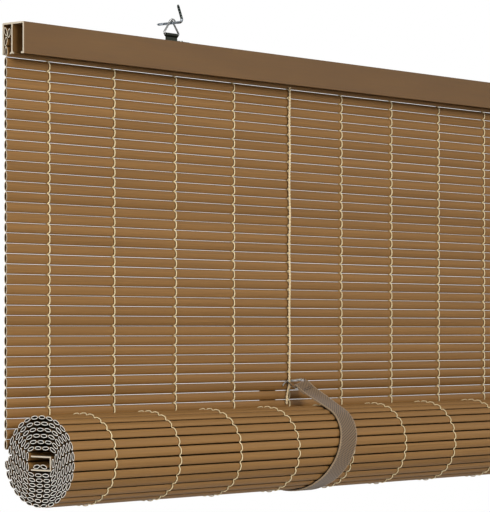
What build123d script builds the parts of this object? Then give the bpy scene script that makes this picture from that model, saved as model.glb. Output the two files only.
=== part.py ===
from build123d import *
from functools import lru_cache
import math
import os

# Vinyl roll-up blind, hung from two screw hooks, partly rolled up. Millimetres.
# +X runs along the slats to the right, +Y points back into the wall, +Z points up.
# The origin is midway between the two hook shanks, on the wall's face.

# Overall sizes
BLIND_WIDTH = 1219.2
MAT_BEHIND_WALL_FACE = 6.0

# Slats, hollow ovals of PVC
SLAT_HEIGHT = 7.1
SLAT_THICKNESS = 3.2
SLAT_WALL = 0.5
SLAT_SIDES = 12
SLAT_PITCH = 8.05
HANGING_SLATS = 38
FIRST_SLAT_DROP = 5.6

# Headrail, one extrusion
RAIL_HEIGHT = 24.8
RAIL_FRONT = 20.2
RAIL_BACK = 3.5
RAIL_WALL = 1.4
RAIL_MIDDLE_WALL = 7.0
RAIL_FOOT_WIDTH = 4.6
RAIL_FOOT_HEIGHT = 2.2
RAIL_LIP = 1.8
RAIL_CORNER = 1.2

# Sides of small round things, such as rivets and cords
POST_SIDES = 12

# Slats folded into the headrail: place behind (+) the mat, height in the rail, lean in degrees
FOLDED_SLATS = ((-0.5, 2.5, 0.0), (-0.25, 10.3, 12.0), (-0.1, 17.9, -17.0), (-3.75, 16.6, 10.0))

# Roll: half its height outside, and the depth that each turn takes at its front and back
ROLL_HALF_HEIGHT = 35.5
ROLL_DROP = 315.5
ROLL_LAYER = 3.7816
ROLL_OUTER_CORNER = 1.0
ROLL_SLAT_THICKNESS = 2.9
ROLL_WEB = 0.6

# Bottom rail, a U channel open to the back, a little off the middle of the roll
BOTTOM_RAIL_DEPTH = 21.4
BOTTOM_RAIL_HEIGHT = 11.6
BOTTOM_RAIL_WALL = 1.2
BOTTOM_RAIL_OFF_CENTRE = (-3.2, -1.4)
INNER_BEND = 1.4

# Slats tucked into its mouth: place from its middle, height off its floor, lean in degrees
TUCKED_SLATS = ((4.8, 0.4, 80.0), (-3.0, 0.5, 102.0))

# Warp strings and the two support cords
STRING_COLUMNS = 16
STRING_MARGIN = 46.0
STRING_WIDTH = 1.2
STRING_THICKNESS = 0.45
STRING_CLEARANCE = 0.05
SUPPORT_COLUMN = 4
SUPPORT_CORD_RADIUS = 1.0

# Hangers: wire rings, folded brackets and screw hooks
HOOK_FROM_END = 191.2
HOOK_WIRE_RADIUS = 1.1
HOOK_IN_WALL = 8.0
HOOK_AHEAD = 12.6
HOOK_BEND_RADIUS = 2.2
HOOK_LEG = 15.6
HOOK_LEG_LEAN = 20.0
WIRE_SIDES = 12
WIRE_BEND_CHORDS = 4
RING_WIRE_RADIUS = 0.85
RING_WIDTH = 21.2
RING_HEIGHT = 12.0
RING_CORNER_BEND = 1.6
RING_APEX_BEND = 2.1
RING_GAP = 0.05
RING_BEHIND_MAT = -2.0
KNUCKLE_CLEARANCE = 0.08
BRACKET_SHEET = 0.8
BRACKET_WIDTH = 14.0
BRACKET_BASE = 14.0
BRACKET_RISE = 7.4
RIVET_RADIUS = 1.5
RIVET_HEAD_RADIUS = 2.7
RIVET_TAIL_RADIUS = 2.3
RIVET_HEAD = 0.9
RIVET_FROM_UPRIGHT = 9.4

# Straps and the rings that hook them on the support cords
STRAP_WIDTH = 21.5
STRAP_END_WIDTH = 14.5
STRAP_THICKNESS = 1.2
STRAP_ROLL_GAP = 0.3
STRAP_SKEW_Y = -0.1656
STRAP_SKEW_Z = 0.393
STRAP_RING_WIRE_RADIUS = 0.7
STRAP_RING_IN_GAP = 0.65
STRAP_RING_HEIGHT = 15.5
STRAP_RING_GAP_INDEX = 31
STRAP_RING_TILT = 10.0
STRAP_ANCHOR_SLAT = 33
STRAP_ABOVE_ANCHOR = 6.0
STRAP_RIVET_RADIUS = 1.0
STRAP_RIVET_TAIL_RADIUS = 1.4
STRAP_RIVET_HEAD_RADIUS = 2.4
STRAP_RIVET_HEAD = 0.5

# Places worked out from the sizes above
SHANK_TO_BAR = RING_HEIGHT - RING_WIRE_RADIUS - HOOK_WIRE_RADIUS - RING_GAP
MAT_Y = -MAT_BEHIND_WALL_FACE
BAR_Y = MAT_Y + RING_BEHIND_MAT
BAR_Z = -SHANK_TO_BAR
RAIL_TOP = BAR_Z - BRACKET_RISE
RAIL_BOTTOM = RAIL_TOP - RAIL_HEIGHT
HALF_WIDTH = BLIND_WIDTH / 2
HOOK_X = HALF_WIDTH - HOOK_FROM_END
STRING_SPACING = (BLIND_WIDTH - 2 * STRING_MARGIN) / (STRING_COLUMNS - 1)
STRING_XS = [-HALF_WIDTH + STRING_MARGIN + STRING_SPACING * i for i in range(STRING_COLUMNS)]
SUPPORT_X = -STRING_XS[SUPPORT_COLUMN]
SLAT_HALF = SLAT_HEIGHT / 2
SLAT_CROWN = SLAT_THICKNESS / 2
BORE_FLAT = SLAT_CROWN - SLAT_WALL
BORE_CROWN = BORE_FLAT / math.sin(math.radians(60))
ROLL_Z = RAIL_BOTTOM - ROLL_DROP
HEART_Y = MAT_Y - ROLL_HALF_HEIGHT + BOTTOM_RAIL_OFF_CENTRE[0]
HEART_Z = ROLL_Z + BOTTOM_RAIL_OFF_CENTRE[1]
ROLL_RISE = ROLL_HALF_HEIGHT - SLAT_CROWN - INNER_BEND
STRAP_REAR_FACE = MAT_Y + SLAT_CROWN + STRAP_ROLL_GAP
STRAP_REAR_Y = STRAP_REAR_FACE + STRAP_THICKNESS / 2


def along_x(face, x0, x1):
    """A section drawn in Y and Z, extruded from x0 to x1."""
    return extrude(Plane.YZ.offset(x0) * face, x1 - x0)


def block(x0, x1, y0, y1, z0, z1):
    return Pos((x0 + x1) / 2, (y0 + y1) / 2, (z0 + z1) / 2) * Box(x1 - x0, y1 - y0, z1 - z0)


def rectangle(y0, y1, z0, z1):
    return Pos((y0 + y1) / 2, (z0 + z1) / 2) * Rectangle(y1 - y0, z1 - z0)


def post(radius, z0, z1):
    """A small round post along Z, with flats to keep its facets few."""
    return extrude(Plane.XY.offset(z0) * RegularPolygon(radius, POST_SIDES), z1 - z0)


def polygon(points):
    return make_face(Polyline(*points, close=True))


def slat_height(i):
    """Height of the centre of hanging slat i, counted down from the headrail."""
    return RAIL_BOTTOM - FIRST_SLAT_DROP - SLAT_PITCH * i


# Slats

def oval(half_width, half_height, sides):
    corners = [2 * math.pi * k / sides for k in range(sides)]
    return polygon([(half_width * math.sin(a), half_height * math.cos(a)) for a in corners])


def slat_section():
    """A hollow oval on end, with a bore of fewer sides."""
    return oval(SLAT_CROWN, SLAT_HALF, SLAT_SIDES) - oval(BORE_CROWN, SLAT_HALF - 1.2 * SLAT_WALL, 6)


def slat(y, z, lean=0.0):
    return along_x(Pos(y, z) * Rot(0, 0, lean) * slat_section(), -HALF_WIDTH, HALF_WIDTH)


def anchor_holes(i):
    """The straps' rivet holes in the back wall of the slat that carries them."""
    if i != STRAP_ANCHOR_SLAT:
        return []
    hole = Rot(-90, 0, 0) * post(STRAP_RIVET_RADIUS, 0, SLAT_THICKNESS)
    return [Pos(side * strap_rear_x(), MAT_Y, slat_height(i)) * hole for side in (-1, 1)]


# The rolled mat

def roll_turns():
    """How many turns fill the roll from its outside to the bottom rail.

    The bend loses ROLL_RISE over half a turn less, while the corners spread to the rail's own.
    """
    spread = BOTTOM_RAIL_DEPTH / 2 - ROLL_OUTER_CORNER
    middle = ROLL_LAYER / 2 + ROLL_RISE - spread
    return (middle + math.sqrt(middle**2 + 2 * ROLL_LAYER * spread)) / (2 * ROLL_LAYER)


ROLL_TURNS = roll_turns()


def roll_path(turns):
    """A point of the coil's middle line, from the back of the roll downwards and inwards.

    Each quarter turn is an arc about a corner of a rectangle, which is the bottom rail's own
    at the heart of the roll and nearly a point outside, where the coil is almost round.
    """
    share = turns / ROLL_TURNS
    outer_bend = ROLL_HALF_HEIGHT - SLAT_CROWN
    per_turn = ROLL_RISE / (ROLL_TURNS - 0.5)
    bend = outer_bend + per_turn * (0.5 - turns)
    corner_y = ROLL_OUTER_CORNER + (BOTTOM_RAIL_DEPTH / 2 - ROLL_OUTER_CORNER) * share
    corner_z = BOTTOM_RAIL_HEIGHT / 2 * share
    start = (MAT_Y - ROLL_OUTER_CORNER - outer_bend - per_turn / 2, ROLL_Z + per_turn / 4)
    centre = [s + (h - s) * share for s, h in zip(start, (HEART_Y, HEART_Z))]
    angle = 2 * math.pi * turns
    quarter = int(4 * turns) % 4
    side_y = 1 if quarter in (0, 3) else -1
    side_z = -1 if quarter in (0, 1) else 1
    y = centre[0] + side_y * corner_y + bend * math.cos(angle)
    z = centre[1] + side_z * corner_z - bend * math.sin(angle)
    return y, z


def walk(start_turns, end_turns, steps):
    """The coil's points, close together, and the distance along it at each."""
    points = [roll_path(start_turns + (end_turns - start_turns) * k / steps) for k in range(steps + 1)]
    along = [0.0]
    for a, b in zip(points, points[1:]):
        along.append(along[-1] + math.dist(a, b))
    return points, along


def point_at(points, along, distance):
    k = min(max(next((i for i, d in enumerate(along) if d >= distance), len(along) - 1), 1), len(along) - 1)
    share = (distance - along[k - 1]) / max(along[k] - along[k - 1], 1e-9)
    a, b = points[k - 1], points[k]
    return a[0] + (b[0] - a[0]) * share, a[1] + (b[1] - a[1]) * share


@lru_cache
def rolled_slats():
    """Middle and direction of each slat in the roll, from the outside to the heart."""
    points, along = walk(0.0, ROLL_TURNS, 6000)
    first = slat_height(HANGING_SLATS - 1) - SLAT_PITCH
    distance = points[0][1] - first
    places = []
    while distance + SLAT_HALF < along[-1]:
        if distance > SLAT_HALF:
            a = point_at(points, along, distance - SLAT_HALF)
            b = point_at(points, along, distance + SLAT_HALF)
            on_path = point_at(points, along, distance)
            chord = ((a[0] + b[0]) / 2, (a[1] + b[1]) / 2)
            middle = ((on_path[0] + chord[0]) / 2, (on_path[1] + chord[1]) / 2)
            length = math.dist(a, b)
            places.append((middle, ((b[0] - a[0]) / length, (b[1] - a[1]) / length)))
        distance += SLAT_PITCH
    return places


SLAT_STATIONS = (-1.0, -0.55, 0.55, 1.0)


def half_thickness(station):
    return ROLL_SLAT_THICKNESS / 2 if abs(station) < 1 else ROLL_WEB / 2


def in_roll(place, along_slat, across):
    (y, z), (dy, dz) = place
    return y + dy * along_slat - dz * across, z + dz * along_slat + dy * across


def roll_section():
    """The whole coil as one outline: ovals joined end to end, each with its bore."""
    places = rolled_slats()
    one_side = [in_roll(p, s * SLAT_HALF, half_thickness(s)) for p in places for s in SLAT_STATIONS]
    other_side = [in_roll(p, s * SLAT_HALF, -half_thickness(s)) for p in places for s in SLAT_STATIONS]
    outline = polygon(one_side + other_side[::-1])
    half_bore = SLAT_HALF - 1.8 * SLAT_WALL
    crown = ROLL_SLAT_THICKNESS / 2 - SLAT_WALL
    corners = ((-half_bore, 0), (0, crown), (half_bore, 0), (0, -crown))
    bores = [polygon([in_roll(p, s, c) for s, c in corners]) for p in places]
    return outline - bores


# Rails

def headrail():
    front, back = MAT_Y - RAIL_FRONT, MAT_Y + RAIL_BACK
    bottom, top, wall = RAIL_BOTTOM, RAIL_TOP, RAIL_WALL
    middle = MAT_Y - RAIL_MIDDLE_WALL
    shell = rectangle(front, front + wall, bottom, top) + rectangle(back - wall, back, bottom, top)
    shell += rectangle(front, back, top - wall, top)
    shell += rectangle(middle - wall / 2, middle + wall / 2, bottom + RAIL_FOOT_HEIGHT / 2, top)
    shell += rectangle(front, front + wall + RAIL_LIP, bottom, bottom + wall)
    half_foot = RAIL_FOOT_WIDTH / 2
    foot = polygon([
        (middle - half_foot, bottom), (middle, bottom + wall / 2), (middle + half_foot, bottom),
        (middle + half_foot, bottom + wall / 2), (middle + wall / 2, bottom + RAIL_FOOT_HEIGHT),
        (middle - wall / 2, bottom + RAIL_FOOT_HEIGHT), (middle - half_foot, bottom + wall / 2)])
    shell += foot
    corners = [v for v in shell.vertices() if v.Y > top - 0.01]
    shell = fillet(corners, RAIL_CORNER)
    rail = along_x(shell, -HALF_WIDTH, HALF_WIDTH)
    for side in (-1, 1):
        rail -= Pos(side * HOOK_X, BAR_Y - RIVET_FROM_UPRIGHT, top) * post(RIVET_RADIUS, -2 * wall, 2 * wall)
    return rail


def bottom_rail():
    y, z = HEART_Y, HEART_Z
    half_depth, half_height, wall = BOTTOM_RAIL_DEPTH / 2, BOTTOM_RAIL_HEIGHT / 2, BOTTOM_RAIL_WALL
    outer = rectangle(y - half_depth, y + half_depth, z - half_height, z + half_height)
    bottom, top = z - half_height + wall, z + half_height - wall
    inner = rectangle(y - half_depth + wall, y + half_depth + wall, bottom, top)
    return along_x(outer - inner, -HALF_WIDTH, HALF_WIDTH)


def tucked_slats():
    """The mat's last two slats, which lie in the bottom rail's mouth."""
    lowest = HEART_Z - BOTTOM_RAIL_HEIGHT / 2 + BOTTOM_RAIL_WALL + SLAT_CROWN
    return [slat(HEART_Y + off, lowest + lift, lean) for off, lift, lean in TUCKED_SLATS]


# Cords

def warp_strings():
    """Each column is two strips, one on the mat's front and one on its back."""
    top = RAIL_BOTTOM + FOLDED_SLATS[0][1] + SLAT_HALF
    near = SLAT_CROWN + STRING_CLEARANCE
    far = near + STRING_THICKNESS
    front_end = ROLL_Z + ROLL_HALF_HEIGHT
    back_end = slat_height(HANGING_SLATS - 1) - SLAT_HALF
    strips = []
    for x in STRING_XS:
        x0, x1 = x - STRING_WIDTH / 2, x + STRING_WIDTH / 2
        if abs(abs(x) - SUPPORT_X) > 1:
            strips.append(block(x0, x1, MAT_Y - far, MAT_Y - near, front_end, RAIL_BOTTOM))
        strips.append(block(x0, x1, MAT_Y + near, MAT_Y + far, back_end, top))
    return strips


def support_cord(side):
    y = MAT_Y - SLAT_CROWN - STRING_CLEARANCE - SUPPORT_CORD_RADIUS
    low, high = ROLL_Z + ROLL_HALF_HEIGHT, RAIL_BOTTOM
    return Pos(side * SUPPORT_X, y, low) * post(SUPPORT_CORD_RADIUS, 0, high - low)


# Hangers

def bent(before, corner, after, radius):
    """The points of a bend of that radius at a corner, as a few chords."""
    before, corner, after = Vector(*before), Vector(*corner), Vector(*after)
    to_before, to_after = (before - corner).normalized(), (after - corner).normalized()
    half_angle = math.radians(to_before.get_angle(to_after)) / 2
    centre = corner + (to_before + to_after).normalized() * (radius / math.sin(half_angle))
    axis = Axis((0, 0, 0), to_before.cross(to_after))
    start = corner + to_before * (radius / math.tan(half_angle)) - centre
    turn = math.degrees(math.pi - 2 * half_angle)
    return [centre + start.rotate(axis, -turn * k / WIRE_BEND_CHORDS) for k in range(WIRE_BEND_CHORDS + 1)]


def bent_wire(points, radius):
    path = Polyline(*points)
    section = Plane(path @ 0, z_dir=path % 0) * RegularPolygon(radius, WIRE_SIDES)
    return sweep(section, path=path, transition=Transition.RIGHT)


def triangular_ring(height, wire_radius):
    """A bent wire ring in X and Z, with its bar on the X axis and its apex above."""
    half, bend = RING_WIDTH / 2, RING_APEX_BEND
    centre = height - bend
    root = centre**2 * half**4 - (half**2 - bend**2) * half**2 * (centre**2 - bend**2)
    sharp_apex = (centre * half**2 + math.sqrt(root)) / (half**2 - bend**2)
    corners = (-half, 0, 0), (0, 0, sharp_apex), (half, 0, 0)
    foot = bent((0, 0, 0), corners[2], corners[1], RING_CORNER_BEND)
    top = bent(corners[2], corners[1], corners[0], bend)
    side = bent_wire([Vector(0, 0, 0)] + foot + top[: WIRE_BEND_CHORDS // 2 + 1], wire_radius)
    return side + mirror(side, about=Plane.YZ)


def hanger_ring(side):
    return Pos(side * HOOK_X, BAR_Y, BAR_Z) * triangular_ring(RING_HEIGHT, RING_WIRE_RADIUS)


def screw_hook(side):
    """A square bend hook: the shank runs back into the wall, and the leg stands up in front."""
    lean = math.radians(HOOK_LEG_LEAN)
    front = BAR_Y - HOOK_AHEAD
    top = (0, front + HOOK_LEG * math.sin(lean), HOOK_LEG * math.cos(lean))
    bend = bent((0, 0, 0), (0, front, 0), top, HOOK_BEND_RADIUS)
    ahead = bent_wire([Vector(0, 0, 0)] + bend + [Vector(*top)], HOOK_WIRE_RADIUS)
    shank = Pos(0, HOOK_IN_WALL / 2, 0) * Rot(90, 0, 0) * Cylinder(HOOK_WIRE_RADIUS, HOOK_IN_WALL)
    return Pos(side * HOOK_X, 0, 0) * (shank + ahead)


def hanger_bracket(side):
    """A folded strip: a base on the headrail, an upright, and a knuckle rolled round the ring's bar."""
    inner = RING_WIRE_RADIUS + KNUCKLE_CLEARANCE
    outer = inner + BRACKET_SHEET
    half_sheet = BRACKET_SHEET / 2
    upright = rectangle(BAR_Y - half_sheet, BAR_Y + half_sheet, RAIL_TOP, BAR_Z - inner)
    base = rectangle(BAR_Y - BRACKET_BASE, BAR_Y + half_sheet, RAIL_TOP, RAIL_TOP + BRACKET_SHEET)
    knuckle = Pos(BAR_Y, BAR_Z) * (Circle(outer) - Circle(inner))
    x = side * HOOK_X
    strip = along_x(upright + base + knuckle, x - BRACKET_WIDTH / 2, x + BRACKET_WIDTH / 2)
    hole = post(RIVET_RADIUS, -BRACKET_SHEET, 2 * BRACKET_SHEET)
    return strip - Pos(x, BAR_Y - RIVET_FROM_UPRIGHT, RAIL_TOP) * hole


def rivet(shank_radius, grip, head_radius, tail_radius, head):
    """A rivet along Z through a stack of the given grip, with its head on top."""
    return post(tail_radius, -head, 0) + post(shank_radius, 0, grip) + post(head_radius, grip, grip + head)


def bracket_rivet(side):
    grip = RAIL_WALL + BRACKET_SHEET
    place = Pos(side * HOOK_X, BAR_Y - RIVET_FROM_UPRIGHT, RAIL_TOP - RAIL_WALL)
    return place * rivet(RIVET_RADIUS, grip, RIVET_HEAD_RADIUS, RIVET_TAIL_RADIUS, RIVET_HEAD)


# Straps

def strap_rear_x():
    """Distance from the middle to the strap's rear run, which is riveted to a slat behind the mat."""
    return strap_x(STRAP_REAR_Y, ROLL_Z)


def anchor_z():
    return slat_height(STRAP_ANCHOR_SLAT)


def ring_gap_z():
    return slat_height(STRAP_RING_GAP_INDEX) - SLAT_PITCH / 2


def strap_bar():
    """Y and Z of the bar that the strap's front end is sewn round."""
    tilt = math.radians(STRAP_RING_TILT)
    apex_y = MAT_Y - SLAT_CROWN + STRAP_RING_IN_GAP
    reach = STRAP_RING_HEIGHT
    return apex_y - reach * math.cos(tilt), ring_gap_z() - reach * math.sin(tilt)


def strap_x(y, z):
    """The strap's middle line is at the support cord at its ring, and skews towards the blind's end below."""
    bar = strap_bar()
    return SUPPORT_X - STRAP_SKEW_Y * (y - bar[0]) - STRAP_SKEW_Z * (z - bar[1])


@lru_cache
def roll_hull():
    """The outer turn's corners, which a strap drawn round the roll can touch."""
    outer_turn = rolled_slats()[:40]
    return [in_roll(p, s * SLAT_HALF, side * half_thickness(s))
            for p in outer_turn for s in SLAT_STATIONS for side in (-1, 1)]


def roll_reach(angle):
    """How far the roll reaches in a direction of the Y and Z plane, measured from the origin."""
    return max(y * math.cos(angle) + z * math.sin(angle) for y, z in roll_hull())


def strap_outline(gap):
    """One face of the strap in Y and Z, from the ring over the front of the roll and up behind the mat.

    The strap's straight pieces each touch the roll, a gap outside it.
    """
    bar_y, bar_z = strap_bar()
    middle_gap = STRAP_ROLL_GAP + STRAP_THICKNESS / 2
    steps = 15

    def bar_reach(angle):
        return bar_y * math.cos(angle) + bar_z * math.sin(angle)

    angles = [math.radians(a / 10) for a in range(900, 1800)]
    start = next(a for a in angles if bar_reach(a) < roll_reach(a) + middle_gap)
    lines = [(start, bar_reach(start) + gap - middle_gap)]
    for k in range(1, steps):
        angle = start + (2 * math.pi - start) * k / steps
        lines.append((angle, roll_reach(angle) + gap))
    back = STRAP_REAR_FACE + gap - STRAP_ROLL_GAP
    lines.append((2 * math.pi, back))
    off = gap - middle_gap
    points = [(bar_y + off * math.cos(start), bar_z + off * math.sin(start))]
    for (a, ra), (b, rb) in zip(lines, lines[1:]):
        turn = math.sin(b - a)
        points.append(((ra * math.sin(b) - rb * math.sin(a)) / turn, (rb * math.cos(a) - ra * math.cos(b)) / turn))
    points.append((back, anchor_z() + STRAP_ABOVE_ANCHOR))
    return points


def strap(side):
    inner = strap_outline(STRAP_ROLL_GAP)
    outer = strap_outline(STRAP_ROLL_GAP + STRAP_THICKNESS)
    band = along_x(polygon(inner + outer[::-1]), -HALF_WIDTH, 0)
    bar_y, bar_z = strap_bar()
    hole = STRAP_RING_WIRE_RADIUS + KNUCKLE_CLEARANCE
    hem = along_x(Pos(bar_y, bar_z) * Circle(hole + STRAP_THICKNESS * 0.7), -HALF_WIDTH, 0)
    normal = Vector(1, STRAP_SKEW_Y * -1, STRAP_SKEW_Z * -1)
    middle = Plane((-strap_x(bar_y, bar_z), bar_y, bar_z), z_dir=normal)
    reach = 4 * ROLL_HALF_HEIGHT
    slab = middle * Box(2 * reach, 2 * reach, STRAP_WIDTH / normal.length)
    low = block(-HALF_WIDTH, 0, MAT_Y - reach, STRAP_REAR_Y + reach, ROLL_Z - reach, ROLL_Z)
    ahead = block(-HALF_WIDTH, 0, MAT_Y - reach, MAT_Y - SLAT_CROWN, ROLL_Z - reach, RAIL_BOTTOM)
    x = -strap_rear_x()
    rear = block(x - STRAP_WIDTH / 2, x + STRAP_WIDTH / 2, MAT_Y, STRAP_REAR_Y + 2, ROLL_Z, 0)
    end = block(-SUPPORT_X - STRAP_END_WIDTH / 2, -SUPPORT_X + STRAP_END_WIDTH / 2,
                bar_y - 3, bar_y + 3, bar_z - 3, bar_z + 3)
    webbing = (band & slab & low) + (band & slab & ahead) + (band & rear)
    webbing = webbing - block(-HALF_WIDTH, 0, bar_y - 3, bar_y + 3, bar_z - 3, bar_z + 3)
    webbing += (band + hem) & end
    webbing -= along_x(Pos(bar_y, bar_z) * Circle(hole), -HALF_WIDTH, 0)
    rivet_hole = post(STRAP_RIVET_RADIUS, -STRAP_THICKNESS, STRAP_THICKNESS)
    webbing -= Pos(x, STRAP_REAR_Y, anchor_z()) * Rot(90, 0, 0) * rivet_hole
    return webbing if side < 0 else mirror(webbing, about=Plane.YZ)


def strap_ring(side):
    bar_y, bar_z = strap_bar()
    ring = triangular_ring(STRAP_RING_HEIGHT, STRAP_RING_WIRE_RADIUS)
    return Pos(side * SUPPORT_X, bar_y, bar_z) * Rot(STRAP_RING_TILT - 90, 0, 0) * ring


def strap_rivet(side):
    inside = MAT_Y + BORE_FLAT
    grip = STRAP_REAR_FACE + STRAP_THICKNESS - inside
    body = rivet(STRAP_RIVET_RADIUS, grip, STRAP_RIVET_HEAD_RADIUS, STRAP_RIVET_TAIL_RADIUS, STRAP_RIVET_HEAD)
    return Pos(side * strap_rear_x(), inside, anchor_z()) * Rot(-90, 0, 0) * body


def main():
    os.makedirs("parts", exist_ok=True)
    nodes = {"headrail": headrail(), "bottom_rail": bottom_rail()}
    nodes["rolled_mat"] = along_x(roll_section(), -HALF_WIDTH, HALF_WIDTH)
    nodes["tucked_slats"] = Compound(tucked_slats())
    for i in range(HANGING_SLATS):
        nodes[f"slat_{i + 1:02d}"] = slat(MAT_Y, slat_height(i)) - anchor_holes(i)
    for i, (behind, height, lean) in enumerate(FOLDED_SLATS):
        nodes[f"rail_slat_{i + 1}"] = slat(MAT_Y + behind, RAIL_BOTTOM + height, lean)
    nodes["warp_strings"] = Compound(warp_strings())
    for name, side in (("left", -1), ("right", 1)):
        nodes[f"support_cord_{name}"] = support_cord(side)
        nodes[f"strap_{name}"] = strap(side)
    for name, make in (("screw_hooks", screw_hook), ("hanger_rings", hanger_ring),
                       ("hanger_brackets", hanger_bracket), ("bracket_rivets", bracket_rivet),
                       ("strap_rings", strap_ring), ("strap_rivets", strap_rivet)):
        nodes[name] = Compound([make(side) for side in (-1, 1)])
    for name, shape in nodes.items():
        export_step(shape, f"parts/{name}.step")
    print(len(nodes), "nodes", len(rolled_slats()), "slats in the roll")


main()
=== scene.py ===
import bpy
import math
import random
from mathutils import Matrix, Vector


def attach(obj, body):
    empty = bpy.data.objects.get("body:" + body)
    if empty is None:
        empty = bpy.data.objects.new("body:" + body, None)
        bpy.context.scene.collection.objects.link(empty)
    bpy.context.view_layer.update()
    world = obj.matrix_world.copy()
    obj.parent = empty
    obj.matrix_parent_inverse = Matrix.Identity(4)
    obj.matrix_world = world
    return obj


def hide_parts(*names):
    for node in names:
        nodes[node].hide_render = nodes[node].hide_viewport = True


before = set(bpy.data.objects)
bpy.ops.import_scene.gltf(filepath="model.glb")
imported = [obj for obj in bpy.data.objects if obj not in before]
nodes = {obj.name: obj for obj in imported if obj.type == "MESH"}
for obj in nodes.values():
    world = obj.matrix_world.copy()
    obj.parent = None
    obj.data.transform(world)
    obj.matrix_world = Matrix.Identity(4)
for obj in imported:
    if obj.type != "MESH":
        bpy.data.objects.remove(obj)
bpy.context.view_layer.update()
MM = 0.001
rng = random.Random(7)

# Sizes in millimetres, as the solids have them. X runs along the blind, Y into the wall, whose
# face is at 0, and Z up from the arms of the hooks.

HALF_WIDTH = 609.6
MAT_Y = -6.0
BAR_Y, BAR_Z = -8.0, -10.0
RAIL_BOTTOM = -42.2
SLAT_HALF, SLAT_CROWN, SLAT_WALL, PITCH = 3.55, 1.6, 0.5, 8.05
HANGING, FIRST_DROP = 38, 5.6
ROLL_Z, ROLL_HALF_HEIGHT = -357.7, 35.5
ROLL_TURNS, ROLL_CORNER, ROLL_CROWN, INNER_BEND = 6.72, 1.0, 1.45, 1.4
HEART = (-44.7, -359.1)
U_DEPTH, U_HEIGHT, U_WALL = 21.4, 11.6, 1.2
HOOK_X = 418.4
FIRST_STRING, STRING_COLUMNS, SUPPORT_COLUMN = -563.6, 16, 4
STRINGS = [FIRST_STRING - 2 * FIRST_STRING / (STRING_COLUMNS - 1) * i for i in range(STRING_COLUMNS)]
SUPPORT_X = -STRINGS[SUPPORT_COLUMN]
HOOK_WIRE, HOOK_IN_WALL, HOOK_AHEAD = 1.1, 8.0, 12.6
HOOK_BEND, HOOK_LEG, HOOK_LEAN = 2.2, 15.6, 20.0
RING_WIRE, RING_WIDTH, RING_HEIGHT = 0.85, 21.2, 12.0
RING_FOOT_BEND, RING_APEX_BEND = 1.6, 2.1
STRAP_WIDTH, STRAP_END_WIDTH, STRAP_THICK, STRAP_GAP = 21.5, 14.5, 1.2, 0.4
STRAP_SKEW_Y, STRAP_SKEW_Z = -0.1656, 0.393
STRAP_BAR, STRAP_RING_APEX = (-22.21, -304.07), (-6.95, -301.37)
STRAP_RING_WIRE = 0.7
STRAP_ANCHOR, STRAP_ABOVE_ANCHOR = 33, 6.0
SIDES = ((-1, "left"), (1, "right"))

# Slats folded in the headrail: way in Y from the mat, height over the rail's bottom, lean in degrees
FOLDED_SLATS = ((-0.5, 2.5, 0.0), (-0.25, 10.3, 12.0), (-0.1, 17.9, -17.0), (-3.75, 16.6, 10.0))
# Slats tucked in the bottom rail: way in Y from its middle, lift off its floor, lean in degrees
TUCKED_SLATS = ((4.8, 0.4, 80.0), (-3.0, 0.5, 102.0))

PATH_STEPS = 6000


def slat_z(i):
    return RAIL_BOTTOM - FIRST_DROP - PITCH * i


def roll_path(turns):
    """The coil's middle line, from the back of the roll downwards and inwards."""
    share = turns / ROLL_TURNS
    outer = ROLL_HALF_HEIGHT - SLAT_CROWN
    per_turn = (outer - INNER_BEND) / (ROLL_TURNS - 0.5)
    bend = outer + per_turn * (0.5 - turns)
    corner_y = ROLL_CORNER + (U_DEPTH / 2 - ROLL_CORNER) * share
    corner_z = U_HEIGHT / 2 * share
    start = (MAT_Y - ROLL_CORNER - outer - per_turn / 2, ROLL_Z + per_turn / 4)
    centre = [s + (h - s) * share for s, h in zip(start, HEART)]
    angle = 2 * math.pi * turns
    quarter = int(4 * turns) % 4
    side_y = 1 if quarter in (0, 3) else -1
    side_z = -1 if quarter in (0, 1) else 1
    return (centre[0] + side_y * corner_y + bend * math.cos(angle),
            centre[1] + side_z * corner_z - bend * math.sin(angle))


def rolled_slats():
    """Middle and direction in Y and Z of each slat of the roll, outermost first."""
    points = [roll_path(ROLL_TURNS * k / PATH_STEPS) for k in range(PATH_STEPS + 1)]
    along = [0.0]
    for a, b in zip(points, points[1:]):
        along.append(along[-1] + math.dist(a, b))

    def at(distance):
        k = max(1, next((i for i, d in enumerate(along) if d >= distance), PATH_STEPS))
        share = (distance - along[k - 1]) / max(along[k] - along[k - 1], 1e-9)
        return [p + (q - p) * share for p, q in zip(points[k - 1], points[k])]

    distance = points[0][1] - slat_z(HANGING)
    places = []
    while distance + SLAT_HALF < along[-1]:
        if distance > SLAT_HALF:
            a, b, mid = at(distance - SLAT_HALF), at(distance + SLAT_HALF), at(distance)
            middle = [(m + (p + q) / 2) / 2 for m, p, q in zip(mid, a, b)]
            length = math.dist(a, b)
            places.append((middle, ((b[0] - a[0]) / length, (b[1] - a[1]) / length)))
        distance += PITCH
    return places


ROLL = rolled_slats()


# Mesh helpers

def mesh_object(name, verts, faces, material, smooth=True, sharp=None, layers=None):
    """A mesh in the scene; layers are attributes with a value for each vertex."""
    mesh = bpy.data.meshes.new(name)
    mesh.from_pydata([(x * MM, y * MM, z * MM) for x, y, z in verts], [], faces)
    mesh.update()
    if smooth:
        mesh.shade_smooth()
    if sharp is not None:
        mesh.set_sharp_from_angle(angle=math.radians(sharp))
    for layer, values in (layers or {}).items():
        mesh.attributes.new(layer, "FLOAT", "POINT").data.foreach_set("value", values)
    mesh.materials.append(material)
    obj = bpy.data.objects.new(name, mesh)
    bpy.context.scene.collection.objects.link(obj)
    return obj


def piece(name, verts, faces, body, material, slot, *replaced, **looks):
    """A mesh that rides on a body and takes the place of the solids named."""
    obj = mesh_object(name, verts, faces, material, **looks)
    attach(obj, body)
    if replaced:
        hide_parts(*replaced)


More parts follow.
